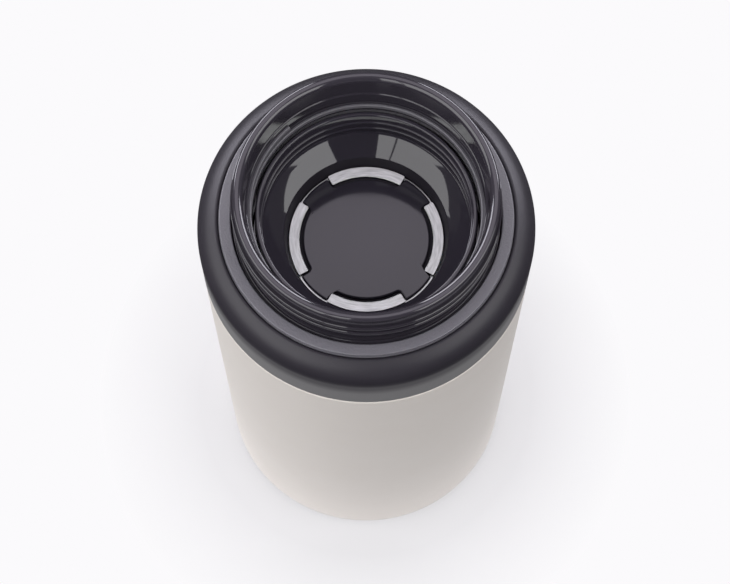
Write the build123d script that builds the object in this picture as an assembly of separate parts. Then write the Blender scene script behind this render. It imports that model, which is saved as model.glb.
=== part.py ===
from build123d import *
from math import cos, radians, sin
import os

# Insulated food jar, standing on its foot: a double-walled steel body under a moulded collar and neck,
# closed by a dished screw-in stopper whose middle is a spring-loaded press valve.
# Millimetres, +Z up, origin on the floor at the jar's axis. Radii are measured from that axis.
# The screw threads are left out: the walls stand back from each other by the room that they need.
# Radii build outwards from the valve's throat, and heights upwards from the floor, so each piece
# follows what it fits.

# Press valve
throat_radius = 18.9
throat_length = 3.35
valve_travel = 5.0
plate_gap = 0.3
plate_thickness = 0.5
arc_height = 1.0
arc_width = 2.6
arc_angle = 61.0
arc_bend = 0.3
notch_gap = 0.7
button_gap = 0.35
button_lobe_angle = 27.0
button_corner = 1.0
button_crown = 0.8
button_edge_bend = 0.35
pin_radius = 4.0
pin_fit = 0.1
pin_depth = 1.4
carrier_gap = 0.7
carrier_thickness = 2.0
valve_seal_height = 1.1
valve_seal_groove = 1.6
valve_seal_bend = 0.3
valve_seal_play = 0.08
valve_seal_fit = 0.05
stem_radius = 3.0
stem_fit = 0.06
stem_end = 3.0
stem_tip_bend = 0.5
stem_root_bend = 1.0
stop_gap = 1.2
clip_thickness = 0.8
clip_radius = 5.0
clip_groove = 0.6
clip_fit = 0.05
clip_play = 0.1
clip_opening_angle = 70.0
spring_radius = 7.0
spring_wire = 0.9
spring_turns = 5.0
spring_end_gap = 0.05

# Stopper
throat_wall = 1.6
spigot_gap = 0.1
spigot_wall = 1.5
spigot_seal_height = 1.0
bowl_floor_wall = 1.0
bowl_skirt_wall = 1.4
bowl_skirt_drop = 3.0
bowl_depth = 16.65
well_height = 3.25
well_draft = 0.8
well_bend = 0.4
dish_inner_width = 2.3
dish_inner_rise = 1.5
dish_outer_rise = 2.45
dish_bend = 25.0
dish_corner = 1.2
stopper_rim_width = 0.9
stopper_rim_bend = 0.3
stopper_height = 13.8
seal_height = 1.8
seal_groove_depth = 2.1
seal_overhang = 0.05
seal_fit = 0.05
seal_edge_height = 1.2
seal_bevel = 0.65
seal_bend = 0.3
bead_height = 1.2
bead_reach = 0.6
bead_drop = 0.2
housing_wall = 1.6
housing_height = 16.6
housing_floor = 1.6
housing_ledge = 1.4
housing_foot_bend = 0.6
housing_corner = 1.0
boss_wall = 1.15
boss_foot_bend = 0.6
guide_wall = 1.35
guide_fit = 0.05
guide_flange = 1.0
guide_flange_height = 1.0
guide_flange_bend = 0.3
floor_port_count = 6
floor_port_inner = 8.2
floor_port_rim = 2.0
floor_port_angle = 44.0
side_port_count = 8
side_port_width = 11.0
side_port_rise = 2.0
side_port_drop = 1.5
port_bend = 1.0

# Neck and collar
bead_room = 0.4
thread_room = 1.6
neck_wall = 3.3
neck_height = 30.4
neck_flange_width = 5.6
neck_flange_thickness = 2.2
neck_foot_bend = 0.5
lip_width = 2.3
lip_outer_bend = 0.8
lip_inner_bend = 1.3
lip_cone_height = 8.3
gasket_thickness = 0.8
gasket_inset = 0.3
gasket_outer_inset = 2.8
neck_groove = 1.1
seat_width = 2.6
seat_height = 15.0
seat_plate = 2.2
seat_skirt = 1.6
seat_bend = 0.35
seat_stand = 0.6
joint_gap = 0.3
collar_groove = 0.35
collar_width = 5.35
collar_shoulder_drop = 2.4
collar_shoulder_bend = 4.0
collar_edge_bend = 0.5
collar_foot_bend = 0.25
collar_wall = 2.3
collar_skirt = 1.7
collar_roof = 2.5
collar_corner = 0.6

# Steel body
body_height = 129.0
foot_height = 1.0
shell_wall = 0.6
shell_inner_bend = 0.6
shell_top_bend = 0.25
shell_curl_width = 2.0
step_depth = 2.6
step_bend = 0.4
shoulder_rise = 1.8
shoulder_bend = 0.7
stub_bend = 0.9
mouth_rise = 4.8
rim_flange_width = 2.4
rim_bend = 0.1
weld_gap = 0.3
liner_wall = 0.5
vacuum_gap = 2.7
liner_floor_gap = 3.5
liner_floor_bend = 9.5
liner_seam_gap = 1.0
liner_neck_drop = 5.0
liner_shoulder_drop = 20.3
liner_shoulder_rise = 10.5
liner_shoulder_bend = 8.0
liner_throat_bend = 4.0

# Underside and vacuum space
base_wall = 0.5
base_height = 4.5
base_bend = 0.5
base_fit = 0.1
port_radius = 1.0
plug_radius = 2.6
plug_height = 0.8
getter_radius = 5.0
getter_height = 1.6
getter_offset = 15.0
foil_thickness = 0.1
foil_gap = 0.3
foil_end_gap = 13.0
foot_gap = 0.2
foot_ring_width = 4.8
foot_web = 1.5
foot_bend = 0.4

# Radii that follow, from the throat outwards
plate_radius = throat_radius - plate_gap
arc_inner = plate_radius - arc_width
button_radius = arc_inner - notch_gap
carrier_radius = throat_radius - carrier_gap
valve_seal_radius = throat_radius - valve_seal_play
guide_bore = stem_radius + stem_fit
guide_radius = guide_bore + guide_wall
boss_bore = guide_radius + guide_fit
boss_radius = boss_bore + boss_wall
throat_outer = throat_radius + throat_wall
spigot_inner = throat_outer + spigot_gap
spigot_radius = spigot_inner + spigot_wall
skirt_inner = spigot_radius + spigot_gap
skirt_radius = skirt_inner + bowl_skirt_wall
housing_inner = skirt_radius - housing_wall
bead_radius = skirt_radius + bead_reach
stopper_radius = skirt_radius + seal_groove_depth
bowl_radius = stopper_radius - stopper_rim_width
mouth_radius = bead_radius + bead_room
tube_radius = mouth_radius + liner_wall
stub_radius = tube_radius + weld_gap + shell_wall
neck_bore = stopper_radius + thread_room
neck_radius = neck_bore + neck_wall
neck_flange_radius = neck_radius + neck_flange_width
seat_inner = neck_radius + neck_groove
seat_outer = seat_inner + seat_width
collar_inner = seat_outer + collar_groove
body_radius = collar_inner + collar_width
step_radius = body_radius - step_depth
liner_radius = body_radius - shell_wall - vacuum_gap

# Heights that follow, from the floor upwards
base_top = base_height + base_wall
liner_floor = base_top + liner_floor_gap
liner_seam = liner_floor + liner_floor_bend + liner_seam_gap
shoulder_height = body_height + shoulder_rise
rim_height = shoulder_height + mouth_rise
liner_shoulder = rim_height - liner_shoulder_drop
liner_neck_seam = liner_shoulder - liner_neck_drop
neck_bottom = shoulder_height + gasket_thickness
flange_top = neck_bottom + neck_flange_thickness
neck_top = neck_bottom + neck_height
seat_top = flange_top + seat_height
collar_top = seat_top - seat_stand
collar_bottom = body_height + joint_gap
seal_top = rim_height + seal_height
stopper_top = rim_height + stopper_height
throat_top = stopper_top - bowl_depth
throat_bottom = throat_top - throat_length
well_top = throat_top + well_height
groove_top = well_top - bowl_floor_wall
spigot_top = groove_top - spigot_seal_height
skirt_bottom = throat_bottom - bowl_skirt_drop
housing_bottom = skirt_bottom - housing_height
floor_top = housing_bottom + housing_floor
ledge_bottom = skirt_bottom - housing_ledge
plate_top = throat_top - arc_height
carrier_top = plate_top - plate_thickness
carrier_bottom = carrier_top - carrier_thickness
guide_top = carrier_bottom - valve_travel - stop_gap
boss_top = guide_top - guide_flange_height
clip_top = housing_bottom - clip_play
clip_bottom = clip_top - clip_thickness
stem_bottom = housing_bottom - stem_end
lobe_pitch = 90
lobe_middles = (45, 135, 225, 315)


def turned(section):
    """Turn a flat section, drawn as radius and height, once round the jar's axis."""
    return revolve(Plane.XZ * section, Axis.Z, 360)


def outline(points):
    """Face inside a closed outline of (radius, height) or (radius, height, corner radius) points."""
    corners = [(point[0], point[1]) for point in points]
    bends = [point[2] if len(point) == 3 else 0 for point in points]
    return make_face(FilletPolyline(corners, radius=bends, close=True).edges())


def sheet(points, wall, side=Side.LEFT):
    """Face of a bent sheet that follows an open line of points and lies on one side of it."""
    corners = [(point[0], point[1]) for point in points]
    bends = [point[2] if len(point) == 3 else 0 for point in points[1:-1]]
    line = Wire(FilletPolyline(corners, radius=bends).edges())
    return make_face(line.offset_2d(wall, kind=Kind.INTERSECTION, side=side).edges())


def ring(inner, outer, bottom, top):
    """Plain ring, or a disc where the inner radius is nought."""
    return turned(outline([(inner, bottom), (outer, bottom), (outer, top), (inner, top)]))


def wedge(middle_angle, width_angle, reach):
    """Flat triangle from the axis outwards, wide enough to cut a sector out of a ring."""
    side = reach / cos(radians(width_angle / 2))
    first = radians(middle_angle - width_angle / 2)
    last = radians(middle_angle + width_angle / 2)
    corners = [(0, 0), (side * cos(first), side * sin(first)), (side * cos(last), side * sin(last))]
    return make_face(Polyline(corners, close=True).edges())


def sector(inner, outer, middle_angle, width_angle):
    """Flat piece of a ring."""
    band = Circle(outer) - Circle(inner)
    return band & wedge(middle_angle, width_angle, outer)


def raised(section, bottom, height):
    """Stand a flat section on a height and give it a thickness."""
    return extrude(Plane.XY.offset(bottom) * section, height)


# Steel body


def outer_shell():
    """Coated wall: curled in at the foot, stepped in under the collar, drawn in to the mouth."""
    line = [
        (body_radius - shell_curl_width, foot_height),
        (body_radius, foot_height, shell_wall + shell_inner_bend),
        (body_radius, body_height, shell_wall + shell_top_bend),
        (step_radius, body_height, step_bend),
        (step_radius, shoulder_height, shell_wall + shoulder_bend),
        (stub_radius, shoulder_height, stub_bend),
        (stub_radius, rim_height - liner_wall),
    ]
    return turned(sheet(line, shell_wall))


def liner():
    """Straight wall of the inner flask, welded to its bottom and to its neck."""
    return ring(liner_radius - liner_wall, liner_radius, liner_seam, liner_neck_seam)


def liner_neck():
    """Drawn-in neck of the inner flask, with a rim that folds out over the outer wall's stub."""
    line = [
        (liner_radius, liner_neck_seam),
        (liner_radius, liner_shoulder, liner_shoulder_bend),
        (tube_radius, liner_shoulder + liner_shoulder_rise, liner_throat_bend),
        (tube_radius, rim_height - liner_wall, rim_bend),
        (mouth_radius + rim_flange_width, rim_height - liner_wall),
    ]
    return turned(sheet(line, liner_wall))


def liner_bottom():
    """Pressed bottom of the inner flask, welded to its wall above the bend."""
    line = [(0, liner_floor), (liner_radius, liner_floor, liner_floor_bend), (liner_radius, liner_seam)]
    return turned(sheet(line, liner_wall))


def base_plate():
    """Pressed bottom of the outer wall, with the hole through which it was pumped out."""
    radius = body_radius - shell_wall - base_fit
    flange_bottom = foot_height + shell_wall + shell_inner_bend + base_fit
    line = [(port_radius, base_top), (radius, base_top, base_wall + base_bend), (radius, flange_bottom)]
    return turned(sheet(line, base_wall, Side.RIGHT))


def vacuum_plug():
    """Bead that seals the pumping hole from below."""
    return ring(0, plug_radius, base_height - plug_height, base_height)


def getter():
    """Pill on the base plate that keeps the vacuum."""
    return Pos(getter_offset, 0, 0) * ring(0, getter_radius, base_top, base_top + getter_height)


def radiation_foil():
    """Reflective wrap round the straight part of the flask."""
    inner = liner_radius + foil_gap
    bottom = liner_floor + liner_floor_bend
    return ring(inner, inner + foil_thickness, bottom, liner_shoulder - foil_end_gap)


def foot_pad():
    """Rubber foot in the recess under the base plate: a standing ring joined by a thin web."""
    radius = body_radius - shell_curl_width - foot_gap
    web_bottom = base_height - plug_height - foot_web
    section = outline(
        [
            (0, web_bottom),
            (radius - foot_ring_width, web_bottom),
            (radius - foot_ring_width, 0, foot_bend),
            (radius, 0, foot_bend),
            (radius, base_height),
            (plug_radius + foot_gap, base_height),
            (plug_radius + foot_gap, base_height - plug_height),
            (0, base_height - plug_height),
        ]
    )
    return turned(section)


# Neck and collar


def neck_gasket():
    """Flat seal between the steel shoulder and the neck's flange."""
    inner = neck_bore + gasket_inset
    outer = neck_flange_radius - gasket_outer_inset
    return ring(inner, outer, shoulder_height, neck_bottom)


def neck_ring():
    """Neck that the stopper and a lid screw onto: flange, wall, rounded lip and cone to the bore."""
    section = outline(
        [
            (neck_bore, neck_bottom),
            (neck_flange_radius, neck_bottom),
            (neck_flange_radius, flange_top),
            (neck_radius, flange_top, neck_foot_bend),
            (neck_radius, neck_top, lip_outer_bend),
            (neck_radius - lip_width, neck_top, lip_inner_bend),
            (neck_bore, neck_top - lip_cone_height),
        ]
    )
    return turned(section)


def seat_ring():
    """Flat ring that a lid's rim lands on, standing on the neck's flange by its skirt."""
    section = outline(
        [
            (seat_inner, flange_top),
            (seat_inner + seat_skirt, flange_top),
            (seat_inner + seat_skirt, seat_top - seat_plate),
            (seat_outer, seat_top - seat_plate),
            (seat_outer, seat_top, seat_bend),
            (seat_inner, seat_top, seat_bend),
        ]
    )
    return turned(section)


def collar():
    """Hollow ring flush with the shell: side wall, crowned shoulder, and a skirt down to the flange."""
    shoulder = collar_top - collar_shoulder_drop
    section = outline(
        [
            (body_radius - collar_wall, collar_bottom),
            (body_radius, collar_bottom, collar_foot_bend),
            (body_radius, shoulder, collar_shoulder_bend),
            (collar_inner, collar_top, collar_edge_bend),
            (collar_inner, flange_top),
            (collar_inner + collar_skirt, flange_top),
            (collar_inner + collar_skirt, collar_top - collar_roof, collar_corner),
            (body_radius - collar_wall, shoulder - collar_roof, collar_corner),
        ]
    )
    return turned(section)


# Stopper


def stopper_bowl():
    """Dish with its rim, the well over the valve's throat, seal groove, retaining bead and skirt."""
    bead_top = rim_height - bead_drop
    bead_bottom = bead_top - bead_height
    well_radius = throat_radius + well_draft
    dish_turn = well_top + dish_inner_rise
    section = [
        (throat_radius, throat_top),
        (well_radius, well_top, well_bend),
        (well_radius + dish_inner_width, dish_turn, dish_bend),
        (bowl_radius, dish_turn + dish_outer_rise, dish_corner),
        (bowl_radius, stopper_top, stopper_rim_bend),
        (stopper_radius, stopper_top, stopper_rim_bend),
        (stopper_radius, seal_top),
        (skirt_radius, seal_top),
        (skirt_radius, bead_top),
        (bead_radius, bead_top),
        (bead_radius, bead_bottom),
        (skirt_radius, bead_bottom),
        (skirt_radius, skirt_bottom),
        (skirt_inner, skirt_bottom),
        (skirt_inner, groove_top),
        (throat_outer, groove_top),
        (throat_outer, throat_bottom),
        (throat_radius, throat_bottom),
    ]
    return turned(outline(section))


def stopper_gasket():
    """Seal under the stopper's shoulder, thinner at its outer lip, that lands on the steel rim."""
    inner = skirt_radius + seal_fit
    outer = stopper_radius + seal_overhang
    section = outline(
        [
            (inner, rim_height),
            (outer, rim_height, seal_bend),
            (outer, rim_height + seal_edge_height, seal_bend),
            (outer - seal_bevel, seal_top),
            (inner, seal_top),
        ]
    )
    return turned(section)


def housing_seal():
    """Ring squeezed between the housing's spigot and the top of its groove in the bowl."""
    return ring(spigot_inner, spigot_radius, spigot_top, groove_top)


def valve_housing():
    """Cage under the bowl: spigot, wall with side ports, floor with ports, and the stem's boss."""
    section = outline(
        [
            (boss_bore, housing_bottom),
            (skirt_radius, housing_bottom, housing_foot_bend),
            (skirt_radius, skirt_bottom),
            (spigot_radius, skirt_bottom),
            (spigot_radius, spigot_top),
            (spigot_inner, spigot_top),
            (spigot_inner, ledge_bottom),
            (housing_inner, ledge_bottom - (housing_inner - spigot_inner)),
            (housing_inner, floor_top, housing_corner),
            (boss_radius, floor_top, boss_foot_bend),
            (boss_radius, boss_top),
            (boss_bore, boss_top),
        ]
    )
    cage = turned(section)
    floor_port = sector(floor_port_inner, housing_inner - floor_port_rim, 0, floor_port_angle)
    floor_port = fillet(floor_port.vertices(), port_bend)
    floor_cut = raised(floor_port, housing_bottom, housing_floor)
    side_bottom = floor_top + side_port_rise
    side_top = ledge_bottom - (housing_inner - spigot_inner) - side_port_drop
    side_port = Rectangle(side_port_width, side_top - side_bottom)
    side_port = Pos(0, (side_bottom + side_top) / 2) * fillet(side_port.vertices(), port_bend)
    side_cut = extrude(Plane.YZ.offset(housing_inner / 2) * side_port, skirt_radius)
    for turn in range(floor_port_count):
        cage -= Rot(0, 0, turn * 360 / floor_port_count) * floor_cut
    for turn in range(side_port_count):
        cage -= Rot(0, 0, (turn + 0.5) * 360 / side_port_count) * side_cut
    return cage


def stem_guide():
    """Bush in the housing's boss, flanged at its top, in which the stem runs."""
    flange_radius = guide_radius + guide_flange
    section = outline(
        [
            (guide_bore, housing_bottom),
            (guide_radius, housing_bottom),
            (guide_radius, boss_top),
            (flange_radius, boss_top),
            (flange_radius, guide_top, guide_flange_bend),
            (guide_bore, guide_top),
        ]
    )
    return turned(section)


# Press valve


def valve_carrier():
    """Disc that holds the seal in a groove, with a socket for the button and the stem below."""
    groove_radius = carrier_radius - valve_seal_groove
    groove_rise = (carrier_thickness - valve_seal_height) / 2 - valve_seal_fit
    clip_seat_radius = stem_radius - clip_groove
    section = outline(
        [
            (0, stem_bottom),
            (stem_radius, stem_bottom, stem_tip_bend),
            (stem_radius, clip_bottom - clip_fit),
            (clip_seat_radius, clip_bottom - clip_fit),
            (clip_seat_radius, clip_top + clip_fit),
            (stem_radius, clip_top + clip_fit),
            (stem_radius, carrier_bottom, stem_root_bend),
            (carrier_radius, carrier_bottom),
            (carrier_radius, carrier_bottom + groove_rise),
            (groove_radius, carrier_bottom + groove_rise),
            (groove_radius, carrier_top - groove_rise),
            (carrier_radius, carrier_top - groove_rise),
            (carrier_radius, carrier_top),
            (pin_radius + pin_fit, carrier_top),
            (pin_radius + pin_fit, carrier_top - pin_depth),
            (0, carrier_top - pin_depth),
        ]
    )
    return turned(section)


def valve_seal():
    """Ring in the carrier's groove that closes the throat all round."""
    inner = carrier_radius - valve_seal_groove + valve_seal_fit
    bottom = carrier_bottom + (carrier_thickness - valve_seal_height) / 2
    section = outline(
        [
            (inner, bottom),
            (valve_seal_radius, bottom, valve_seal_bend),
            (valve_seal_radius, bottom + valve_seal_height, valve_seal_bend),
            (inner, bottom + valve_seal_height),
        ]
    )
    return turned(section)


def valve_plate():
    """Steel plate whose four raised arcs stand in the button's notches, level with its face."""
    section = outline(
        [
            (pin_radius + pin_fit, carrier_top),
            (plate_radius, carrier_top),
            (plate_radius, throat_top),
            (arc_inner, throat_top),
            (arc_inner, plate_top),
            (pin_radius + pin_fit, plate_top),
        ]
    )
    plate = turned(section)
    for middle in lobe_middles:
        plate -= raised(wedge(middle, lobe_pitch - arc_angle, plate_radius + arc_width), plate_top, arc_height)
    ends = [edge for edge in plate.edges().filter_by(Axis.Z) if is_arc_corner(edge)]
    return fillet(ends, arc_bend)


def is_arc_corner(edge):
    """Whether an upright edge belongs to an end of an arc, and isn't the seam of a turned face."""
    across = min(abs(edge.center().X), abs(edge.center().Y))
    return edge.center().Z > plate_top and across > arc_width


def button_dome():
    """Body under a shallow dome that is level with the arcs at the rim of the button's disc."""
    rim_top = plate_top + arc_height
    dome_radius = (button_radius**2 + button_crown**2) / (2 * button_crown)
    ball = Pos(0, 0, rim_top + button_crown - dome_radius) * Sphere(dome_radius)
    return ball & ring(0, plate_radius, plate_top, rim_top + button_crown)


def valve_button():
    """Crowned press disc with four notches for the arcs; its pin passes the plate into the carrier."""
    lobe_radius = plate_radius - button_gap
    face = Rot(0, 0, lobe_middles[0]) * Circle(button_radius)
    for middle in lobe_middles:
        face += sector(button_radius / 2, lobe_radius, middle, button_lobe_angle)
    corners = [v for v in face.vertices() if abs(v.center().length - button_radius) < button_gap]
    face = fillet(corners, button_corner)
    cap = raised(face, plate_top, arc_height + button_crown) & button_dome()
    cap = fillet(cap.faces().sort_by(Axis.Z)[-1].edges(), button_edge_bend)
    pin_bottom = carrier_top - pin_depth + pin_fit
    return cap + ring(0, pin_radius, pin_bottom, plate_top)


def stem_clip():
    """Open clip in the stem's groove that stops the valve at the top of its travel."""
    inner = stem_radius - clip_groove + clip_fit
    blank = Circle(clip_radius) - Circle(inner)
    opening = wedge(0, clip_opening_angle, clip_radius * 2)
    return raised(blank - opening, clip_bottom, clip_thickness)


def valve_spring():
    """Compression spring round the boss, between the housing's floor and the carrier."""
    bottom = floor_top + spring_wire / 2 + spring_end_gap
    height = carrier_bottom - spring_wire / 2 - spring_end_gap - bottom
    path = Helix(pitch=height / spring_turns, height=height, radius=spring_radius, center=(0, 0, bottom))
    wire = Plane(origin=path @ 0, z_dir=path % 0) * Circle(spring_wire / 2)
    return sweep(wire, path=path, is_frenet=True)


pieces = [
    outer_shell,
    liner,
    liner_bottom,
    liner_neck,
    base_plate,
    vacuum_plug,
    getter,
    radiation_foil,
    foot_pad,
    neck_gasket,
    neck_ring,
    seat_ring,
    collar,
    stopper_bowl,
    stopper_gasket,
    housing_seal,
    valve_housing,
    stem_guide,
    valve_carrier,
    valve_seal,
    valve_plate,
    valve_button,
    stem_clip,
    valve_spring,
]
os.makedirs("parts", exist_ok=True)
for piece in pieces:
    export_step(piece(), f"parts/{piece.__name__}.step")
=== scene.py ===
import math

import bmesh
import bpy
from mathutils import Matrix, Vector


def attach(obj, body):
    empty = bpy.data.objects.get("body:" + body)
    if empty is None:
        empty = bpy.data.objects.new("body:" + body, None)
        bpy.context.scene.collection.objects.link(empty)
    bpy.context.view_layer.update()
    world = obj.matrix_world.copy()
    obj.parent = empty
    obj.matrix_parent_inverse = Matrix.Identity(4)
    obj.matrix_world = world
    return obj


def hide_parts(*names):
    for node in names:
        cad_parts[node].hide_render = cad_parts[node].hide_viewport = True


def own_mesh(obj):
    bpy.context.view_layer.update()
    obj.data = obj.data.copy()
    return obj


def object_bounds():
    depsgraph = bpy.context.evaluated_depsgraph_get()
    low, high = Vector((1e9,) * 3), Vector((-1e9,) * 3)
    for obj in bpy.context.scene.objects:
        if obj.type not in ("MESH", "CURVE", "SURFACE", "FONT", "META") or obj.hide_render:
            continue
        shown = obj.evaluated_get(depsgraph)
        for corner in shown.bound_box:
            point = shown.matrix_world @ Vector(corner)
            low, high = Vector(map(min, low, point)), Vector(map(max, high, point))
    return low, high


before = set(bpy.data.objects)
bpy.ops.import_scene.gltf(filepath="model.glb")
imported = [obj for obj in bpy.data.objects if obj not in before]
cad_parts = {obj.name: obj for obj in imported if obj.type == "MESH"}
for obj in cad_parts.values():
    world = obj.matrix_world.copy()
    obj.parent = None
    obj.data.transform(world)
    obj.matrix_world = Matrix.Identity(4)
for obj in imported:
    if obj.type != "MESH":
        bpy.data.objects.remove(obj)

cad_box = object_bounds()

# Insulated food jar: coated steel body, moulded collar and neck, dished stopper with a press valve.
# The jar's sizes are in millimetres, with heights from the floor; its meshes and the studio are in metres.

# One millimetre in metres, and one metre in millimetres
MM = 0.001
METRE = 1000

# Fineness of the meshes
AROUND = 256
ARC_STEP = math.radians(9)
ARC_SLACK = 0.3
SHADE_RIM = 0.05
SHARP_EDGE = math.radians(32)
MITRE_LIMIT = 0.3
NO_LENGTH = 1e-6

# Radii that pieces share; the body's is the frame's
BODY_R = round(cad_box[1][0] / MM, 2)
STEP_R = 37.4
STUB_R = 26.0
COLLAR_R = 34.65
FLANGE_R = 36.2
SEAT_R = 31.7
NECK_R = 30.6
NECK_BORE = 27.3
STOPPER_R = 25.7
BOWL_R = 24.8
THROAT_R = 18.9
PLATE_R = 18.6

# Heights that pieces share; the neck's top is the frame's
SHELL_TOP = 129.0
SHOULDER = 130.8
FLASK_RIM = 135.1
NECK_FOOT = 131.6
FLANGE_TOP = 133.8
SEAT_TOP = 148.8
COLLAR_TOP = 148.2
NECK_TOP = round(cad_box[1][2] / MM, 2)
BOWL_TOP = 149.4
THROAT_TOP = 132.75
PLATE_TOP = 131.75

# Screw threads; they start at an angle in degrees
THREAD_PITCH = 3.2
THREAD_START = 132


# Lines and meshes


def rounded(points, closed=True):
    """Line through (x, y) or (x, y, bend) points.

    A point just outside each bend keeps the flats beside it flat in smooth shading.
    """
    line = []
    for i, point in enumerate(points):
        here = Vector(point[:2])
        bend = point[2] if len(point) == 3 else 0
        if not bend or (not closed and i in (0, len(points) - 1)):
            line.append(here)
            continue
        back = (Vector(points[i - 1][:2]) - here).normalized()
        ahead = (Vector(points[(i + 1) % len(points)][:2]) - here).normalized()
        turn = math.pi - back.angle(ahead)
        reach = bend * math.tan(turn / 2)
        centre = here + (back + ahead).normalized() * bend / math.cos(turn / 2)
        spoke = here + back * reach - centre
        side = 1 if back.cross(ahead) < 0 else -1
        steps = max(2, math.ceil(turn / ARC_STEP - ARC_SLACK))
        line.append(here + back * (reach + SHADE_RIM))
        for step in range(steps + 1):
            angle = side * turn * step / steps
            cos, sin = math.cos(angle), math.sin(angle)
            line.append(centre + Vector((spoke.x * cos - spoke.y * sin, spoke.x * sin + spoke.y * cos)))
        line.append(here + ahead * (reach + SHADE_RIM))
    return line


def offset(line, distance, closed=True):
    """The same line moved sideways, to the left of its direction."""
    moved = []
    last = len(line) - 1
    for i, here in enumerate(line):
        before = line[i - 1] if closed or i > 0 else None
        after = line[(i + 1) % len(line)] if closed or i < last else None
        sides = []
        for start, end in ((before, here), (here, after)):
            if start is not None and end is not None and (end - start).length > NO_LENGTH:
                run = (end - start).normalized()
                sides.append(Vector((-run.y, run.x)))
        lean = sides[0] + sides[-1]
        lean.normalize()
        moved.append(here + lean * distance / max(MITRE_LIMIT, lean.dot(sides[0])))
    return moved


def sheet(points, wall):
    """Closed section of a bent sheet that follows an open line, with its wall to the line's left."""
    outside = rounded(points, closed=False)
    return outside + offset(outside, wall, closed=False)[::-1]


def arc(radius, first, last, count=24):
    """Points on a circle about the axis, from one angle to another in degrees."""
    angles = [math.radians(first + (last - first) * k / (count - 1)) for k in range(count)]
    return [(radius * math.cos(a), radius * math.sin(a)) for a in angles]


def spot(radius, degrees, bend):
    """Corner of an outline at an angle about the axis, with the radius that rounds it."""
    angle = math.radians(degrees)
    return (radius * math.cos(angle), radius * math.sin(angle), bend)


def band(form, lower, upper):
    """Join two closed rings of vertices with a band of faces."""
    for i in range(len(lower)):
        j = (i + 1) % len(lower)
        form.faces.new((lower[i], lower[j], upper[j], upper[i]))


def turned(form, line):
    """Add a closed section of (radius, height) points, turned round the axis, to a bmesh."""
    rings = []
    for step in range(AROUND):
        angle = math.tau * step / AROUND
        cos, sin = math.cos(angle), math.sin(angle)
        rings.append([form.verts.new((p.x * cos * MM, p.x * sin * MM, p.y * MM)) for p in line])
    for step, ring in enumerate(rings):
        band(form, rings[step - 1], ring)
    return form


def layered(form, layers):
    """Join outlines of equal length, each a (line, height) pair; strips across the last one close it."""
    rings = [[form.verts.new((p.x * MM, p.y * MM, height * MM)) for p in line] for line, height in layers]
    for lower, upper in zip(rings, rings[1:]):
        band(form, lower, upper)
    form.faces.new(rings[0][::-1])
    top = rings[-1]
    for i in range(len(top) // 2 - 1):
        form.faces.new((top[i], top[i + 1], top[-2 - i], top[-1 - i]))
    return form


def linked(name, form, finish):
    """Turn a bmesh into an object in the scene, with its finish."""
    mesh = bpy.data.meshes.new(name)
    form.to_mesh(mesh)
    form.free()
    mesh.materials.append(finish)
    piece = bpy.data.objects.new(name, mesh)
    bpy.context.scene.collection.objects.link(piece)
    return piece


def finished(name, form, finish, body, nodes=()):
    """Turn a bmesh into a smooth closed piece that rides on a body and stands for CAD nodes."""
    bmesh.ops.remove_doubles(form, verts=form.verts, dist=1e-7)
    bmesh.ops.dissolve_degenerate(form, edges=form.edges, dist=1e-8)
    bmesh.ops.recalc_face_normals(form, faces=form.faces)
    piece = linked(name, form, finish)
    piece.data.polygons.foreach_set("use_smooth", [True] * len(piece.data.polygons))
    piece.data.set_sharp_from_angle(angle=SHARP_EDGE)
    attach(piece, body)
    if nodes:
        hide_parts(*nodes)
    return piece


def darken_well_and_paint_shade(piece, radius, low, high):
    """Give the faces inside a radius and between two heights the dull black of the well, which on the steel
    plate is painted shade.
    """
    piece.data.materials.append(well_black_and_painted_shade)
    for face in piece.data.polygons:
        middle = face.center / MM
        if middle.xy.length < radius and low < middle.z < high:
            face.material_index = 1


# Materials


def colour(code):
    """Linear colour of an sRGB hex code."""
    parts = [int(code[i : i + 2], 16) / 255 for i in (0, 2, 4)]
    return [p / 12.92 if p <= 0.04045 else ((p + 0.055) / 1.055) ** 2.4 for p in parts] + [1.0]


def add(tree, kind, inputs=None, **settings):
    """Add a node with its settings; an input is a value or the output that feeds it."""
    made = tree.nodes.new(kind)
    for name, value in settings.items():
        setattr(made, name, value)
    for name, value in (inputs or {}).items():
        if isinstance(value, bpy.types.NodeSocket):
            tree.links.new(value, made.inputs[name])
        else:
            made.inputs[name].default_value = value
    return made


def material(name, **constants):
    """New material with its shader's constant inputs set; returns it with its tree and shader."""
    made = bpy.data.materials.new(name)
    made.use_nodes = True
    shader = made.node_tree.nodes["Principled BSDF"]
    for key, value in constants.items():
        shader.inputs[key.replace("_", " ")].default_value = value
    return made, made.node_tree, shader


def mixed(tree, share, first, second):
    """Colour between two others, each an sRGB hex code or an output."""
    tones = [colour(tone) if isinstance(tone, str) else tone for tone in (first, second)]
    return add(tree, "ShaderNodeMix", {0: share, 6: tones[0], 7: tones[1]}, data_type="RGBA").outputs[2]


def bumped(tree, shader, height, depth):
    """Make a pattern raise a shader's surface by up to a real depth."""
    bump = add(tree, "ShaderNodeBump", {"Height": height, "Distance": depth * MM, "Strength": 1.0})
    tree.links.new(bump.outputs["Normal"], shader.inputs["Normal"])


def grained(name, hexes, grain, depth, **constants):
    """Material with a colour that drifts between two tones and a bumpy grain of a real size."""
    result, tree, shader = material(name, **constants)
    cloud = 14.0
    place = add(tree, "ShaderNodeTexCoord").outputs["Object"]
    drift = add(tree, "ShaderNodeTexNoise", {"Vector": place, "Scale": METRE / cloud, "Detail": 3.0})
    tree.links.new(mixed(tree, drift.outputs["Fac"], *hexes), shader.inputs["Base Color"])
    bumps = add(tree, "ShaderNodeTexNoise", {"Vector": place, "Scale": METRE / grain, "Detail": 2.0})
    bumped(tree, shader, bumps.outputs["Fac"], depth)
    return result


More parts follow.
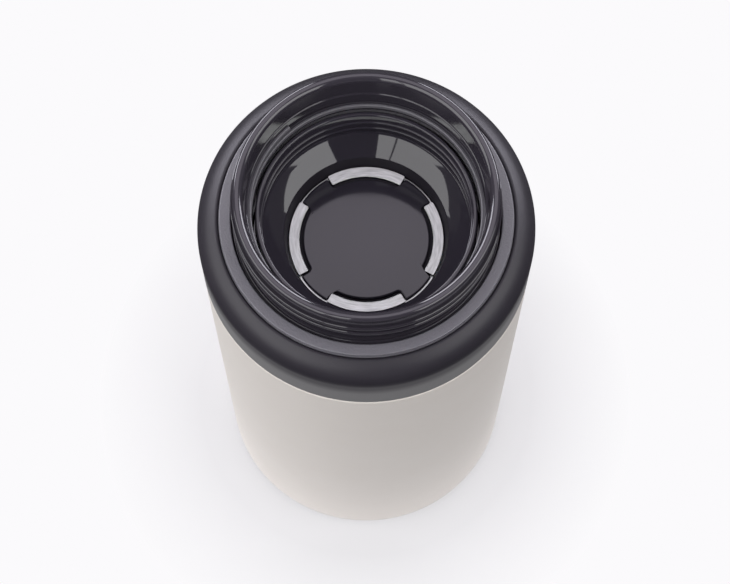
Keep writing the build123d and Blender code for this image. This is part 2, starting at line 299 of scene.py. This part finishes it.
def painted_floor_sheen(made, code, sheen_full, sheen_none):
    """Paint a sheen on a material: paler downwards, from a height where it has none to one where it is full.
    """
    tree = made.node_tree
    base = tree.nodes["Principled BSDF"].inputs["Base Color"]
    height = add(tree, "ShaderNodeSeparateXYZ", {0: add(tree, "ShaderNodeTexCoord").outputs["Object"]})
    ramp = {"From Min": sheen_full * MM, "From Max": sheen_none * MM, "To Min": 1.0, "To Max": 0.0}
    painted_sheen = add(tree, "ShaderNodeMapRange", {"Value": height.outputs["Z"], **ramp})
    tree.links.new(mixed(tree, painted_sheen.outputs[0], base.links[0].from_socket, code), base)
    return made


def turned_steel(name, hexes, line, depth, roughness):
    """Stainless steel brushed round the axis: fine rings that spread reflections across them."""
    result, tree, shader = material(name, Metallic=1.0, Roughness=roughness, Anisotropic=0.7)
    place = add(tree, "ShaderNodeTexCoord").outputs["Object"]
    x, y, z = add(tree, "ShaderNodeSeparateXYZ", {0: place}).outputs
    flat = add(tree, "ShaderNodeCombineXYZ", {"X": x, "Y": y}).outputs[0]
    radius = add(tree, "ShaderNodeVectorMath", {0: flat}, operation="LENGTH").outputs["Value"]
    angle = add(tree, "ShaderNodeMath", {0: y, 1: x}, operation="ARCTAN2").outputs[0]
    # A line runs on for a good part of its ring, because a radian counts as only 2 mm.
    swept = add(tree, "ShaderNodeMath", {0: angle, 1: 2 * MM}, operation="MULTIPLY").outputs[0]
    lines = add(tree, "ShaderNodeCombineXYZ", {"X": radius, "Y": swept, "Z": z}).outputs[0]
    streak = add(tree, "ShaderNodeTexNoise", {"Vector": lines, "Scale": METRE / line, "Detail": 4.0})
    tree.links.new(mixed(tree, streak.outputs["Fac"], *hexes), shader.inputs["Base Color"])
    bumped(tree, shader, streak.outputs["Fac"], depth)
    along = add(tree, "ShaderNodeVectorMath", {0: (0, 0, 1), 1: flat}, operation="CROSS_PRODUCT")
    tree.links.new(along.outputs[0], shader.inputs["Tangent"])
    return result


# Powder coat, sprayed and baked on steel: a fine orange peel that breaks up its soft shine.
powder_coat = grained(
    "powder_coated_steel_cream", ("dcd6d1", "d9d2cc"), grain=0.9, depth=0.02, Roughness=0.5
)
# ABS moulded on a spark-eroded tool: matt, so light only lifts it at grazing angles. The grain of the
# moulded plastics is drawn about twice as coarse as it is, so that it shows.
matt_black = grained(
    "spark_eroded_abs_black", ("252229", "29262d"), grain=0.45, depth=0.012, Roughness=0.45
)
# The same, with a painted reflection of the floor: paler along its foot, where the wall would mirror the
# floor at grazing angles.
collar_black = grained(
    "abs_black_painted_floor_sheen",
    ("252229", "29262d"),
    grain=0.45,
    depth=0.012,
    Roughness=0.45,
    Specular_IOR_Level=0.35,
)
# Painted reflection: the collar turns grey below 139.5 mm, and is fully grey below 136 mm.
painted_floor_sheen(collar_black, "636264", sheen_full=136.0, sheen_none=139.5)
# ABS with a coarser etched grain that catches light as small points.
satin_black = grained("etched_abs_satin_black", ("5e5c63", "68666d"), grain=0.5, depth=0.09, Roughness=0.34)
# Polypropylene moulded on a polished tool: deep black with clear reflections.
gloss_black = grained(
    "polished_pp_black", ("2c2930", "2f2c33"), grain=3.0, depth=0.004, Roughness=0.06, IOR=1.52
)
# The flanks of the inner thread keep the fine grain of their tool, which spreads reflections evenly. Their
# grey tone, paler than the neck's black, is a painted highlight of the lit flanks.
thread_black_painted_highlight = grained("etched_pp_black_painted_highlight", ("5c5a60", "66646a"), grain=0.4, depth=0.03, Roughness=0.4)
# The dish is polished further than the neck.
dish_black = grained(
    "mirror_polished_pp_black", ("2b2830", "2e2b33"), grain=6.0, depth=0.002, Roughness=0.045, IOR=1.5
)
# The well round the valve is left as the tool was eroded, without a shine. On the steel plate the same dull
# black is painted shade, on the inner walls of the arcs and the plate between them.
well_black_and_painted_shade = grained(
    "spark_eroded_pp_black_and_painted_shade",
    ("27242b", "2b282f"),
    grain=0.6,
    depth=0.004,
    Roughness=0.6,
    Specular_IOR_Level=0.15,
)
# Press button, polished, with a faint flow pattern of the moulding.
button_black = grained(
    "polished_abs_button_black", ("2a2730", "2d2a33"), grain=5.0, depth=0.003, Roughness=0.09, IOR=1.52
)
# Silicone, moulded: milky, soft sheen, light passes a little way in.
silicone = grained(
    "moulded_silicone_clear",
    ("cfcfcb", "d8d8d4"),
    grain=1.2,
    depth=0.01,
    Roughness=0.42,
    Subsurface_Weight=0.2,
)
# Unpigmented polypropylene, moulded: waxy white.
natural_pp = grained(
    "moulded_pp_natural", ("dedcd5", "e4e2dc"), grain=1.5, depth=0.01, Roughness=0.4, Subsurface_Weight=0.1
)
# Silicone rubber foot, moulded on a blasted tool: dull grey that hides scuffs.
foot_rubber = grained("blasted_rubber_grey", ("58575a", "626164"), grain=0.6, depth=0.03, Roughness=0.75)
# Sintered getter metal: porous and dark.
sintered = grained(
    "sintered_getter_metal", ("5a5856", "6e6c69"), grain=0.4, depth=0.05, Roughness=0.8, Metallic=1.0
)
# Solder glass, melted into a bead: dark, with a soft shine.
bead_glass = grained("fused_solder_glass", ("4f534c", "5c6058"), grain=2.0, depth=0.02, Roughness=0.15)
# Bright rolled foil with the creases of its wrap.
foil = grained(
    "rolled_aluminium_foil", ("cfcfd1", "d8d8da"), grain=4.0, depth=0.05, Roughness=0.2, Metallic=1.0
)
# Stainless plate, brushed on a lathe: light and dark rings that smear reflections sideways.
brushed_steel = turned_steel(
    "lathe_brushed_stainless", ("7e7f7e", "d6d8d6"), line=0.4, depth=0.003, roughness=0.34
)
# Stainless flask, spun: even rings left by the tool.
flask_steel = turned_steel(
    "spun_stainless_flask", ("b9b9bb", "c6c6c8"), line=0.6, depth=0.01, roughness=0.3
)
# Spring wire, drawn: a bright skin with fine lines.
spring_steel = turned_steel("drawn_spring_wire", ("9c9ca0", "adadb1"), line=0.4, depth=0.01, roughness=0.25)


# Steel body


def shell():
    """Coated outer wall: curled in at the foot, stepped in under the collar, drawn in to the mouth."""
    curl_r, foot, wall = 38.0, 1.0, 0.6
    line = [
        (curl_r, foot),
        (BODY_R, foot, 1.2),
        (BODY_R, SHELL_TOP, 1.1),
        (STEP_R, SHELL_TOP, 0.4),
        (STEP_R, SHOULDER, 1.3),
        (STUB_R, SHOULDER, 0.9),
        (STUB_R, FLASK_RIM),
    ]
    form = turned(bmesh.new(), sheet(line, wall))
    return finished("shell", form, powder_coat, "jar", ["outer_shell"])


def flask():
    """Inner flask with its welded bottom, narrowed to the mouth, rim folded out over the outer wall."""
    body_r, mouth_r, rim_r = 36.7, 25.1, 27.0
    bottom, shoulder, throat, wall = 8.5, 115.3, 125.8, 0.5
    line = [
        (0, bottom),
        (body_r, bottom, 9.5),
        (body_r, shoulder, 8.0),
        (mouth_r, throat, 4.0),
        (mouth_r, FLASK_RIM, 0.1),
        (rim_r, FLASK_RIM),
    ]
    form = turned(bmesh.new(), sheet(line, wall))
    return finished("flask", form, flask_steel, "jar", ["liner", "liner_bottom", "liner_neck"])


def collar():
    """Matt ring, flush with the shell, crowned in to the groove round the seat."""
    skirt_r, lining_r = 37.7, 36.35
    foot, crown, roof, lining_top = 129.3, 145.8, 145.7, 143.3
    points = [
        (skirt_r, foot),
        (BODY_R, foot, 0.25),
        (BODY_R, crown, 6.5),
        (COLLAR_R, COLLAR_TOP, 0.7),
        (COLLAR_R, FLANGE_TOP),
        (lining_r, FLANGE_TOP),
        (lining_r, roof, 0.6),
        (skirt_r, lining_top, 0.6),
    ]
    form = turned(bmesh.new(), rounded(points))
    return finished("collar_ring", form, collar_black, "jar", ["collar"])


def seat():
    """Grained flat ring inside the collar that the rim of a lid lands on."""
    skirt_r, plate_r, edge_r = 33.3, 34.6, 34.45
    plate_foot, plate_top = 146.6, 147.7
    points = [
        (SEAT_R, FLANGE_TOP),
        (skirt_r, FLANGE_TOP),
        (skirt_r, plate_foot),
        (plate_r, plate_foot),
        (plate_r, plate_top),
        (edge_r, plate_top),
        (edge_r, SEAT_TOP, 0.3),
        (SEAT_R, SEAT_TOP, 0.35),
    ]
    form = turned(bmesh.new(), rounded(points))
    return finished("lid_seat", form, satin_black, "jar", ["seat_ring"])


def neck():
    """Threaded neck with a rounded lip, and a cone with a fine step down to the bore."""
    ledge_r, lip_r, step_outer_r, step_inner_r = 31.5, 28.3, 27.75, 27.45
    ledge, step_top, step_foot, cone_foot = 147.6, 156.0, 155.8, 153.7
    points = [
        (NECK_BORE, NECK_FOOT),
        (FLANGE_R, NECK_FOOT),
        (FLANGE_R, FLANGE_TOP),
        (ledge_r, FLANGE_TOP),
        (ledge_r, ledge, 0.2),
        (NECK_R, ledge, 0.4),
        (NECK_R, NECK_TOP, 0.8),
        (lip_r, NECK_TOP, 1.3),
        (step_outer_r, step_top, 0.3),
        (step_inner_r, step_foot, 0.3),
        (NECK_BORE, cone_foot, 0.6),
    ]
    form = turned(bmesh.new(), rounded(points))
    return finished("neck", form, gloss_black, "jar", ["neck_ring"])


def foot():
    """Rubber foot: a standing ring with a thin web across it."""
    ring_r, ring_inner_r, hole_r = 37.8, 33.0, 2.8
    web_foot, web_top, top = 2.2, 3.7, 4.5
    points = [
        (0, web_foot),
        (ring_inner_r, web_foot),
        (ring_inner_r, 0, 0.4),
        (ring_r, 0, 0.4),
        (ring_r, top),
        (hole_r, top),
        (hole_r, web_top),
        (0, web_top),
    ]
    form = turned(bmesh.new(), rounded(points))
    return finished("foot", form, foot_rubber, "jar", ["foot_pad"])


# Stopper and valve


def dish():
    """Dish of the stopper with its rim, seal groove, retaining bead, skirt and the throat of the valve."""
    rim_r, rim_foot, rim_root = 25.95, 147.8, 147.5
    wall_r, wall_foot = 23.6, 137.4
    bead_r, bead_top, bead_foot = 24.2, 135.4, 134.2
    skirt_inner_r, skirt_foot = 22.2, 126.4
    spigot_r, spigot_top, throat_foot = 20.5, 135.0, 129.4
    well_r, well_top = 19.7, 136.0
    slope_r, slope, slope_bend, slope_top = 22.0, 137.5, 25.0, 139.95
    points = [
        (THROAT_R, THROAT_TOP, 0.15),
        (well_r, well_top, 0.4),
        (slope_r, slope, slope_bend),
        (BOWL_R, slope_top, 1.2),
        (BOWL_R, BOWL_TOP, 0.4),
        (rim_r, BOWL_TOP, 0.4),
        (rim_r, rim_foot),
        (STOPPER_R, rim_root),
        (STOPPER_R, wall_foot),
        (wall_r, wall_foot),
        (wall_r, bead_top),
        (bead_r, bead_top, 0.3),
        (bead_r, bead_foot, 0.3),
        (wall_r, bead_foot),
        (wall_r, skirt_foot),
        (skirt_inner_r, skirt_foot),
        (skirt_inner_r, spigot_top),
        (spigot_r, spigot_top),
        (spigot_r, throat_foot),
        (THROAT_R, throat_foot),
    ]
    form = turned(bmesh.new(), rounded(points))
    piece = finished("dish", form, dish_black, "stopper", ["stopper_bowl"])
    # The well: the cone from just above the throat's foot up to the slope
    margin = 0.05
    darken_well_and_paint_shade(piece, well_r + margin, throat_foot + margin, BOWL_TOP)
    return piece


def arc_line(middle, inset, inner_inset):
    """Outline of one raised arc, drawn in from its edges, and by its own measure from its inner one."""
    inner_r, half_angle, bend = 16.0, 30.5, 0.3
    outer_bend_angle, inner_bend_angle = 1.6, 1.9
    outer, inner = PLATE_R - inset, inner_r + inner_inset
    half = half_angle - math.degrees(inset / outer)
    first, last = middle - half, middle + half
    corners = [spot(outer, first, bend)]
    corners += arc(outer, first + outer_bend_angle, last - outer_bend_angle)
    corners += [spot(outer, last, bend), spot(inner, last, bend)]
    corners += arc(inner, last - inner_bend_angle, first + inner_bend_angle)
    corners += [spot(inner, first, bend)]
    return rounded(corners)


def arcs():
    """Brushed plate: a disc with four raised arcs, which lean inwards, in the button's notches."""
    bore_r, gap_r, underside = 4.1, 17.9, 131.25
    middle_r, lean, rounding, margin = 17.3, 0.06, 0.2, 0.1
    plate = [
        (bore_r, underside),
        (PLATE_R, underside),
        (PLATE_R, PLATE_TOP),
        (gap_r, PLATE_TOP),
        (bore_r, PLATE_TOP),
    ]
    form = turned(bmesh.new(), rounded(plate))
    # Inset all round, inset of the inner edge and drop below the top, from the foot of an arc to its top.
    rounds = [(0, 0, 1.2), (0, 0, 0.25), (0, 0.03, 0.13), (0.02, 0.1, 0.05), (0.05, 0.2, 0), (0.12, 0.3, 0)]
    for middle in (0, 90, 180, 270):
        layered(form, [(arc_line(middle, side, inner), THROAT_TOP - drop) for side, inner, drop in rounds])
    for vert in form.verts:
        if vert.co.z > (PLATE_TOP + margin) * MM:
            vert.co.z += (vert.co.xy.length - middle_r * MM) * lean
    piece = finished("plate_arcs", form, brushed_steel, "valve", ["valve_plate"])
    # Painted shade: the inner walls of the arcs, and the plate between them, in the well's dull black
    darken_well_and_paint_shade(piece, gap_r, 0, THROAT_TOP - rounding)
    return piece


def button_line(notch_r):
    """Outline of the button: four lobes between four notches."""
    lobe_r, half_angle = 18.25, 13.5
    root_bend, tip_bend = 1.0, 0.4
    root_bend_angle, tip_bend_angle = 5, 2
    notch_angle = 90 - 2 * half_angle
    corners = []
    for middle in (45, 135, 225, 315):
        first, last = middle - half_angle, middle + half_angle
        corners += [spot(notch_r, first, root_bend), spot(lobe_r, first, tip_bend)]
        corners += arc(lobe_r, first + tip_bend_angle, last - tip_bend_angle, count=12)
        corners += [spot(lobe_r, last, tip_bend), spot(notch_r, last, root_bend)]
        corners += arc(notch_r, last + root_bend_angle, last + notch_angle - root_bend_angle)
    return rounded(corners)


def button():
    """Crowned press disc with four notches for the arcs and a pin down into the carrier."""
    notch_r, rise, edge_inset, round_r = 15.3, 0.8, 0.35, 13.6
    pin_r, pin_foot, pin_top = 4.0, 129.95, 132.0
    line = button_line(notch_r)
    lengths = [0.0]
    for here, after in zip(line, line[1:] + line[:1]):
        lengths.append(lengths[-1] + (after - here).length)
    start = math.atan2(line[0].y, line[0].x)
    turns = [start + math.tau * length / lengths[-1] for length in lengths[:-1]]
    spokes = [Vector((math.cos(turn), math.sin(turn))) for turn in turns]
    ball = (notch_r**2 + rise**2) / (2 * rise)

    def crown(point):
        return THROAT_TOP + rise - ball + math.sqrt(ball**2 - point.length_squared)

    layers = [[(p, PLATE_TOP) for p in line]]
    # Inset and drop below the crown, round the edge
    for inset, drop in ((0.0, 0.35), (0.02, 0.23), (0.1, 0.1), (0.2, 0.03), (edge_inset, 0.0)):
        layers.append([(p, crown(p) - drop) for p in offset(line, inset)])
    edge = offset(line, edge_inset)
    # From the notched edge to a circle, and on to the middle
    for share in (0.04, 0.5, 1.0):
        spots = [p.lerp(spoke * round_r, share) for p, spoke in zip(edge, spokes)]
        layers.append([(p, crown(p)) for p in spots])
    for radius in range(12, -1, -2):
        layers.append([(spoke * radius, crown(spoke * radius)) for spoke in spokes])
    form = bmesh.new()
    rings = [[form.verts.new((p.x * MM, p.y * MM, height * MM)) for p, height in layer] for layer in layers]
    for lower, upper in zip(rings, rings[1:]):
        band(form, lower, upper)
    form.faces.new(rings[0][::-1])
    turned(form, rounded([(0, pin_foot), (pin_r, pin_foot), (pin_r, pin_top), (0, pin_top)]))
    return finished("button", form, button_black, "valve", ["valve_button"])


def spring():
    """Compression spring with closed ends, wound round the housing's boss."""
    wire_r, coil_r, turns, steps, sides = 0.45, 7.0, 5.0, 240, 12
    foot, top, end_gap, closed_turns = 111.4, 129.25, 0.02, 0.6
    low = foot + wire_r + end_gap
    high = top - wire_r - end_gap
    form = bmesh.new()
    rings = []
    for step in range(steps + 1):
        share = step / steps
        angle = math.tau * turns * share
        cos, sin = math.cos(angle), math.sin(angle)
        rise = min(max((share * turns - closed_turns) / (turns - 2 * closed_turns), 0), 1)
        height = low + (high - low) * rise
        ring = []
        for side in range(sides):
            lean = math.tau * side / sides
            reach = coil_r + wire_r * math.cos(lean)
            level = height + wire_r * math.sin(lean)
            ring.append(form.verts.new((reach * cos * MM, reach * sin * MM, level * MM)))
        rings.append(ring)
    for here, after in zip(rings, rings[1:]):
        band(form, here, after)
    form.faces.new(rings[0])
    form.faces.new(rings[-1])
    piece = finished("spring", form, spring_steel, "stopper", ["valve_spring"])
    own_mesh(piece)
    return piece


# Screw threads

THREAD_SIZES = (
    "Radius",
    "Depth",
    "Bury",
    "Root Low",
    "Root High",
    "Crest Low",
    "Crest High",
    "Corner",
    "Pitch",
    "Turns",
    "First Angle",
    "First Height",
    "Run Out",
)


def thread_tree():
    """Tree that sweeps a trapezoid along a helix and tapers both of its ends into the wall."""
    tree = bpy.data.node_groups.new("screw_thread", "GeometryNodeTree")
    for size in THREAD_SIZES:
        tree.interface.new_socket(size, in_out="INPUT", socket_type="NodeSocketFloat")
    tree.interface.new_socket("Material", in_out="INPUT", socket_type="NodeSocketMaterial")
    tree.interface.new_socket("Geometry", in_out="OUTPUT", socket_type="NodeSocketGeometry")
    given = add(tree, "NodeGroupInput").outputs

    rise = add(tree, "ShaderNodeMath", {0: given["Pitch"], 1: given["Turns"]}, operation="MULTIPLY")
    helix = add(
        tree,
        "GeometryNodeCurveSpiral",
        {
            "Resolution": 160,
            "Rotations": given["Turns"],
            "Start Radius": given["Radius"],
            "End Radius": given["Radius"],
            "Height": rise.outputs[0],
            "Reverse": False,
        },
    )
    lift = add(tree, "ShaderNodeCombineXYZ", {"Z": given["First Height"]}).outputs[0]
    spin = add(tree, "ShaderNodeCombineXYZ", {"Z": given["First Angle"]}).outputs[0]
    placed = add(
        tree,
        "GeometryNodeTransform",
        {"Geometry": helix.outputs[0], "Translation": lift, "Rotation": spin},
    ).outputs[0]
    upright = add(tree, "GeometryNodeSetCurveNormal", {"Curve": placed}, mode="Z_UP").outputs[0]

    along = add(tree, "GeometryNodeSplineParameter").outputs["Length"]
    total = add(tree, "GeometryNodeCurveLength", {"Curve": placed}).outputs[0]
    left = add(tree, "ShaderNodeMath", {0: total, 1: along}, operation="SUBTRACT").outputs[0]
    nearest = add(tree, "ShaderNodeMath", {0: along, 1: left}, operation="MINIMUM").outputs[0]
    taper = add(
        tree,
        "ShaderNodeMapRange",
        {"Value": nearest, "From Max": given["Run Out"], "To Min": 0.02},
        interpolation_type="SMOOTHSTEP",
    ).outputs[0]
    tapered = add(tree, "GeometryNodeSetCurveRadius", {"Curve": upright, "Radius": taper}).outputs[0]

    quad = add(tree, "GeometryNodeCurvePrimitiveQuadrilateral", mode="POINTS")
    corners = (("Bury", "Root Low"), ("Bury", "Root High"), ("Depth", "Crest High"), ("Depth", "Crest Low"))
    for number, (x, y) in enumerate(corners, 1):
        corner = add(tree, "ShaderNodeCombineXYZ", {"X": given[x], "Y": given[y]})
        tree.links.new(corner.outputs[0], quad.inputs[f"Point {number}"])
    soft = add(
        tree,
        "GeometryNodeFilletCurve",
        {"Curve": quad.outputs[0], "Count": 3, "Radius": given["Corner"], "Limit Radius": True},
        mode="POLY",
    ).outputs[0]

    swept = add(
        tree,
        "GeometryNodeCurveToMesh",
        {"Curve": tapered, "Profile Curve": soft, "Fill Caps": True},
    ).outputs[0]
    real = add(tree, "GeometryNodeRealizeInstances", {"Geometry": swept}).outputs[0]
    coated = add(tree, "GeometryNodeSetMaterial", {"Geometry": real, "Material": given["Material"]})
    add(tree, "NodeGroupOutput", {"Geometry": coated.outputs[0]})
    return tree


def thread(name, tree, sizes, finish, body):
    """Run the thread tree with its sizes and keep the result as a plain closed mesh on a body."""
    holder = bpy.data.objects.new(name + "_holder", bpy.data.meshes.new(name + "_holder"))
    bpy.context.scene.collection.objects.link(holder)
    modifier = holder.modifiers.new("thread", "NODES")
    modifier.node_group = tree
    sockets = {item.name: item.identifier for item in tree.interface.items_tree if item.in_out == "INPUT"}
    for size, value in sizes.items():
        modifier[sockets[size]] = value
    modifier[sockets["Material"]] = finish
    graph = bpy.context.evaluated_depsgraph_get()
    swept = bpy.data.meshes.new_from_object(holder.evaluated_get(graph))
    form = bmesh.new()
    form.from_mesh(swept)
    bpy.data.objects.remove(holder)
    return finished(name, form, finish, body)


def threads():
    """Thread inside the neck with a flat upper flank, the stopper's in its gaps, and a low one for a lid."""
    tree = thread_tree()
    common = {"Corner": 0.25, "Pitch": THREAD_PITCH, "Run Out": 9.0}
    inner = {
        "Radius": NECK_BORE,
        "Depth": -1.3,
        "Bury": 0.6,
        "Root Low": -0.85,
        "Root High": 0.85,
        "Crest Low": -0.05,
        "Crest High": 0.8,
        "First Height": 143.45,
    }
    held = {
        "Radius": STOPPER_R,
        "Depth": 1.2,
        "Bury": -0.5,
        "Root Low": -0.65,
        "Root High": 0.65,
        "Crest Low": -0.6,
        "Crest High": 0.1,
        "First Height": 138.65,
    }
    outer = {
        "Radius": NECK_R,
        "Depth": 0.45,
        "Bury": -0.6,
        "Root Low": -1.0,
        "Root High": 1.0,
        "Crest Low": -0.5,
        "Crest High": 0.4,
        "First Height": 152.0,
    }
    runs = (
        ("neck_inner_thread", inner, 3.0, thread_black_painted_highlight, "jar"),
        ("stopper_thread", held, 2.5, dish_black, "stopper"),
        ("neck_outer_thread", outer, 2.0, gloss_black, "jar"),
    )
    for name, section, turns, finish, body in runs:
        sizes = {size: value * MM for size, value in {**common, **section}.items()}
        sizes.update({"Turns": turns, "First Angle": math.radians(THREAD_START)})
        thread(name, tree, sizes, finish, body)


def dress(finishes):
    """Give the CAD pieces that show as they are their finish."""
    for name, finish in finishes.items():
        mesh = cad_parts[name].data
        mesh.materials.clear()
        mesh.materials.append(finish)


# Floor, light and camera


def seen_as(made, tree, shader, share, other):
    """Show another shader in place of a material's own, for the given share of it."""
    blend = add(tree, "ShaderNodeMixShader", {0: share, 1: shader.outputs[0], 2: other.outputs[0]})
    tree.links.new(blend.outputs[0], tree.nodes["Material Output"].inputs["Surface"])
    return made


def floor():
    """White sheet on a dark desk; seen straight on, both are lifted to one pale tone.

    Shiny pieces mirror the sheet alone, and the shadow next to the foot stays.
    """
    sheet_r, desk_r, shadow_r, shadow_share, half_width = 0.08, 0.1, 0.05, 0.4, 3.0
    made, tree, shader = material("uncoated_paper_white", Roughness=0.7)
    place = add(tree, "ShaderNodeTexCoord").outputs["Object"]
    away = add(tree, "ShaderNodeVectorMath", {0: place}, operation="LENGTH").outputs["Value"]
    edge = {"From Min": sheet_r, "From Max": desk_r}
    beyond = add(tree, "ShaderNodeMapRange", {"Value": away, **edge}).outputs[0]
    tree.links.new(mixed(tree, beyond, "c4c3c6", "2b2a2d"), shader.inputs["Base Color"])
    fade = {"From Min": shadow_r, "From Max": sheet_r, "To Min": shadow_share, "To Max": 1.0}
    lifted = add(tree, "ShaderNodeMapRange", {"Value": away, **fade}).outputs[0]
    glow = add(tree, "ShaderNodeEmission", {"Color": colour("fbfafc"), "Strength": 1.0})
    rays = add(tree, "ShaderNodeLightPath").outputs
    within = add(tree, "ShaderNodeMath", {0: 1.0, 1: beyond}, operation="SUBTRACT").outputs[0]
    mirrored = add(tree, "ShaderNodeMath", {0: rays["Is Glossy Ray"], 1: within}, operation="MULTIPLY")
    share = add(
        tree,
        "ShaderNodeMath",
        {0: rays["Is Camera Ray"], 1: lifted, 2: mirrored.outputs[0]},
        operation="MULTIPLY_ADD",
    )
    form = bmesh.new()
    bmesh.ops.create_grid(form, x_segments=1, y_segments=1, size=half_width)
    piece = linked("floor", form, seen_as(made, tree, shader, share.outputs[0], glow))
    # Just below the foot, so that no face of the two lies in one plane
    piece.location.z = -0.1 * MM


def card():
    """Dark card below the lens, as wide as whoever holds the camera; the camera looks through it."""
    made, tree, shader = material("matt_black_card", Roughness=0.9)
    shader.inputs["Base Color"].default_value = colour("1c1b1e")
    clear = add(tree, "ShaderNodeBsdfTransparent")
    direct = add(tree, "ShaderNodeLightPath").outputs["Is Camera Ray"]
    middle, spread = math.radians(11), math.radians(21)
    away, low, high = 0.32, 0.2, 0.9
    corners = []
    for turn in (middle - spread, middle + spread):
        corners.append(Vector((math.sin(turn), -math.cos(turn), 0)) * away / math.cos(spread))
    outline = [corner + Vector((0, 0, low)) for corner in corners]
    outline += [corner + Vector((0, 0, high)) for corner in corners[::-1]]
    form = bmesh.new()
    form.faces.new([form.verts.new(corner) for corner in outline])
    piece = linked("card", form, seen_as(made, tree, shader, direct, clear))


def panel(name, place, target, width, height, radiance, tint):
    """Soft rectangular lamp that faces a point, with the given brightness and tint of its face."""
    lamp = bpy.data.lights.new(name, "AREA")
    lamp.color = colour(tint)[:3]
    lamp.shape = "RECTANGLE"
    lamp.size = width
    lamp.size_y = height
    lamp.energy = radiance * math.pi * width * height
    holder = bpy.data.objects.new(name, lamp)
    holder.location = place
    holder.rotation_euler = (Vector(target) - Vector(place)).to_track_quat("-Z", "Y").to_euler()
    bpy.context.scene.collection.objects.link(holder)
    return holder


def window(name, azimuths, elevations, radiance, tint="ffffff"):
    """Upright lamp, 1 m away, between two azimuths, which count from front to right, and two elevations."""
    collar_height = 0.14
    first, last = (math.radians(angle) for angle in azimuths)
    bottom, top = (collar_height + math.tan(math.radians(angle)) for angle in elevations)
    middle = (first + last) / 2
    width = 2 * math.tan((last - first) / 2)
    place = Vector((math.sin(middle), -math.cos(middle), (bottom + top) / 2))
    return panel(name, place, (0, 0, place.z), width, top - bottom, radiance, tint)


def lamps():
    """A lamp overhead, a tall one on the right, a pair on the left, a low one in front and three behind."""
    panel("overhead", (0, 0.38, 1.35), (0, 0, 0.15), width=0.9, height=0.62, radiance=1.7, tint="faf3ff")
    window("right", azimuths=(31, 98), elevations=(24, 62), radiance=3.55)
    window("left", azimuths=(-104, -25.5), elevations=(14, 62), radiance=3.25)
    window("left_front", azimuths=(-24, -7), elevations=(24, 62), radiance=3.3)
    window("front_low", azimuths=(-20, 22), elevations=(4, 14), radiance=1.0)
    # The bright pair behind shows only as reflections; the soft one gives the light from there.
    for name, azimuths in (("back_right", (119, 165)), ("back_left", (-165, -119))):
        pair = window(name, azimuths, elevations=(14, 42), radiance=9.3, tint="f6f4ff")
        pair.visible_diffuse = False
    fill = window("back_fill", azimuths=(115, 245), elevations=(10, 60), radiance=1.6)
    fill.visible_glossy = False


def room():
    """Pale room that looks like the lit floor when it is seen straight on."""
    world = bpy.data.worlds.new("pale_room")
    world.use_nodes = True
    tree = world.node_tree
    air = tree.nodes["Background"]
    air.inputs["Color"].default_value = colour("f4f4f7")
    air.inputs["Strength"].default_value = 0.2
    backdrop = add(tree, "ShaderNodeBackground", {"Color": colour("fbfafc"), "Strength": 1.0})
    direct = add(tree, "ShaderNodeLightPath").outputs["Is Camera Ray"]
    blend = add(tree, "ShaderNodeMixShader", {0: direct, 1: air.outputs[0], 2: backdrop.outputs[0]})
    tree.links.new(blend.outputs[0], tree.nodes["World Output"].inputs["Surface"])
    bpy.context.scene.world = world


def camera():
    """Long lens above the front of the jar, looking down."""
    lens = bpy.data.cameras.new("camera")
    lens.lens = 99.83
    lens.sensor_width = 36.0
    holder = bpy.data.objects.new("camera", lens)
    holder.location = (-0.00032, -0.17076, 0.58942)
    holder.rotation_euler = (math.radians(18.987), 0, 0)
    bpy.context.scene.collection.objects.link(holder)
    bpy.context.scene.camera = holder


shell()
flask()
collar()
seat()
neck()
foot()
dish()
arcs()
button()
spring()
threads()
dress(
    {
        "base_plate": flask_steel,
        "vacuum_plug": bead_glass,
        "getter": sintered,
        "radiation_foil": foil,
        "neck_gasket": silicone,
        "stopper_gasket": silicone,
        "housing_seal": silicone,
        "valve_housing": matt_black,
        "stem_guide": natural_pp,
        "valve_carrier": natural_pp,
        "valve_seal": silicone,
        "stem_clip": spring_steel,
    }
)
floor()
card()
room()
lamps()
camera()
bpy.context.scene.view_settings.view_transform = "Standard"
